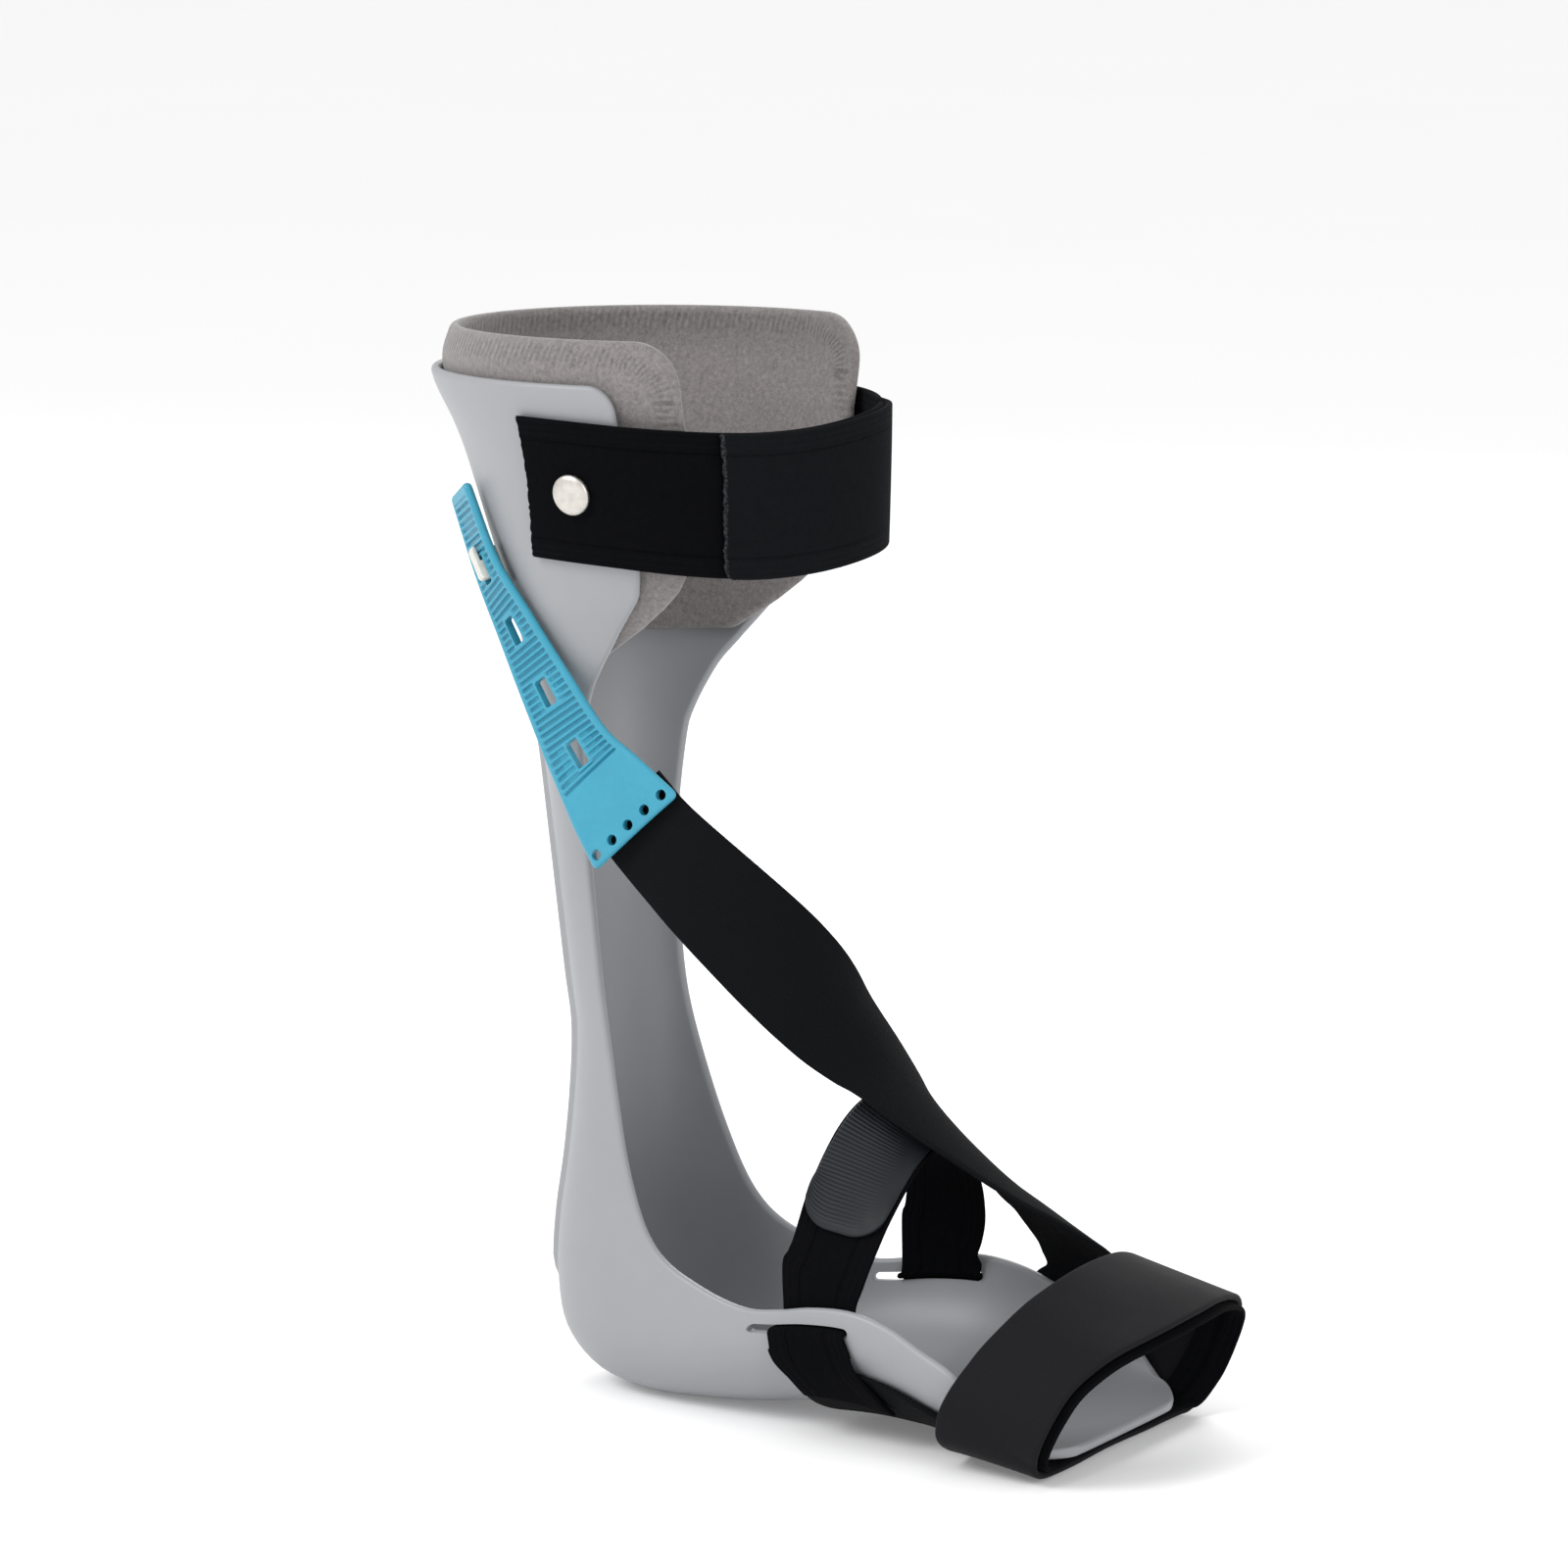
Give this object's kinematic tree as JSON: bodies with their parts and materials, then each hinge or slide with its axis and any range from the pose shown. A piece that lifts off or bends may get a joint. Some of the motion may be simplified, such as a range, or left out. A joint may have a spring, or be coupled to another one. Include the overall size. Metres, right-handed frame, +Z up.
{
  "type": "foot drop orthosis",
  "caption": "Posterior leaf-spring ankle-foot orthosis for a right foot, with a padded calf cuff, a diagonal toe-lift strap, an instep strap and a forefoot loop.",
  "frame": {"origin": "middle of the heel's flat, where it rests on the floor", "axes": "+X towards the toes, +Y towards the inner (medial) side, +Z up the leg"},
  "size_m": [0.2499, 0.13, 0.3187],
  "materials": {
    "shell_plastic": "satin moulded polypropylene",
    "pad_fabric": "heathered grey knit over foam, stitched near its edge",
    "velvet_strap": "black loop-pile strap",
    "elastic_strap": "dark woven elastic",
    "smooth_strap": "dark smooth matte fabric",
    "tab_rubber": "slate grey with fine cross ribs",
    "ladder_plastic": "blue, satin, with fine cross ribs",
    "stud_plastic": "pale grey",
    "rivet_steel": "domed head, warm silver"
  },
  "bodies": {
    "root": {"shell": "shell_plastic", "calf_pad": "pad_fabric", "calf_strap_lateral": "velvet_strap", "calf_strap_medial": "velvet_strap", "rivet_lateral": "rivet_steel", "rivet_medial": "rivet_steel", "ladder_strap": "ladder_plastic", "ladder_stud": "stud_plastic", "lift_strap": "elastic_strap", "instep_strap": "velvet_strap", "instep_pull_tab": "tab_rubber", "forefoot_strap": "smooth_strap", "forefoot_lining": "velvet_strap"}
  },
  "joints": []
}
